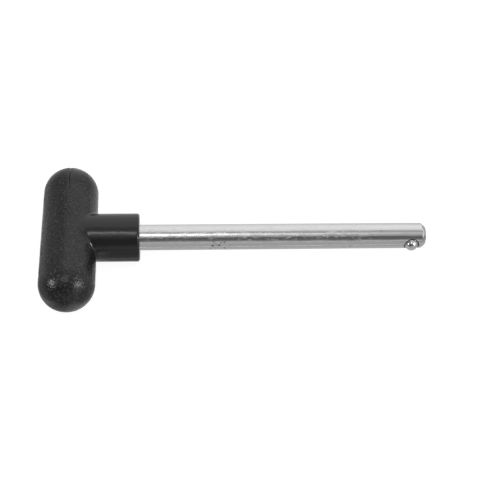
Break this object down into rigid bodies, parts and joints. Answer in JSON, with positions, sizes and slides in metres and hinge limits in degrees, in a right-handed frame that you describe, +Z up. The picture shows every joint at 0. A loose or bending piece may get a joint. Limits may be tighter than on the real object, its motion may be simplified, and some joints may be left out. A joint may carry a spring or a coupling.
{
  "type": "weight stack pin",
  "caption": "T-handled pin with a round steel rod and a spring-loaded detent ball near its chamfered tip, for locking weight plates to a gym machine's selector stem.",
  "frame": {"origin": "on the rod's axis, at the end face of the handle's neck", "axes": "+X along the rod, towards its tip; +Y along the cross bar, away from the detent ball; +Z up as the pin lies"},
  "size_m": [0.12, 0.0506, 0.0172],
  "materials": {
    "moulded_plastic": "black moulded plastic, finely grained on the bar and smooth on the neck",
    "plated_steel": "turned and bright plated steel with fine handling marks",
    "bearing_steel": "polished steel ball",
    "spring_steel": "drawn spring wire"
  },
  "bodies": {
    "pin": {"handle": "moulded_plastic", "shaft": "plated_steel", "detent_spring": "spring_steel"},
    "ball": {"detent_ball": "bearing_steel"}
  },
  "joints": [
    {"name": "ball_press", "type": "slide", "parent": "pin", "child": "ball", "axis": [0, 1, 0], "range_m": [0, 0.00135], "stiffness_N_per_m": 1800, "deforming": ["detent_spring"]}
  ]
}
